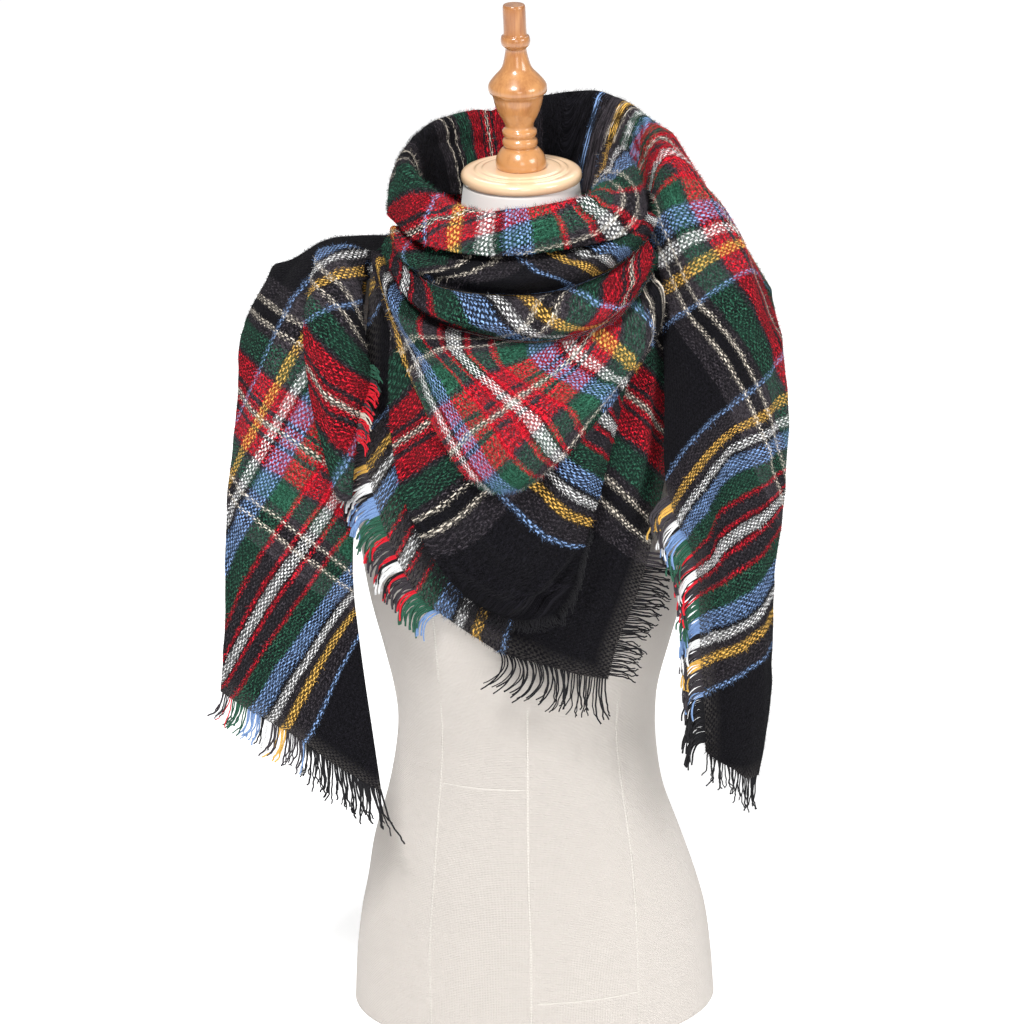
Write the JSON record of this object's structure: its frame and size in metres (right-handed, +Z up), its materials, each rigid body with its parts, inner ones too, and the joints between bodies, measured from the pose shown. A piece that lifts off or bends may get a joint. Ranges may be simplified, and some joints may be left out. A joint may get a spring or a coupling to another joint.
{
  "type": "blanket scarf on dress form",
  "caption": "Tartan blanket scarf with frayed edges, wound round the neck of a limbless linen dress form so that its corner hangs in front as a bib and both ends hang over the shoulders.",
  "frame": {"origin": "centre of the dress form's flat base", "axes": "+Z up along the form's height, -Y towards the front where the bib hangs, +X to the right seen from the front"},
  "size_m": [0.505, 0.3112, 0.9286],
  "materials": {
    "linen": "plain woven linen, matt",
    "wood": "turned and lacquered",
    "tartan_wool": "brushed woven tartan",
    "fringe_wool": "loose warp and weft yarns"
  },
  "bodies": {
    "root": {"form_torso": "linen", "neck_cap": "wood", "finial": "wood", "cowl_roll_top": "tartan_wool", "cowl_roll_middle": "tartan_wool", "cowl_roll_low": "tartan_wool", "collar_back": "tartan_wool", "bib_upper": "tartan_wool", "bib_middle": "tartan_wool", "bib_lower": "tartan_wool", "tail_left": "tartan_wool", "tail_left_lobe": "tartan_wool", "tail_right": "tartan_wool", "fringe_tail_left": "fringe_wool", "fringe_lobe": "fringe_wool", "fringe_bib_left": "fringe_wool", "fringe_corner_bottom": "fringe_wool", "fringe_corner_right": "fringe_wool", "fringe_tail_right_side": "fringe_wool", "fringe_tail_right_tip": "fringe_wool"}
  },
  "joints": []
}
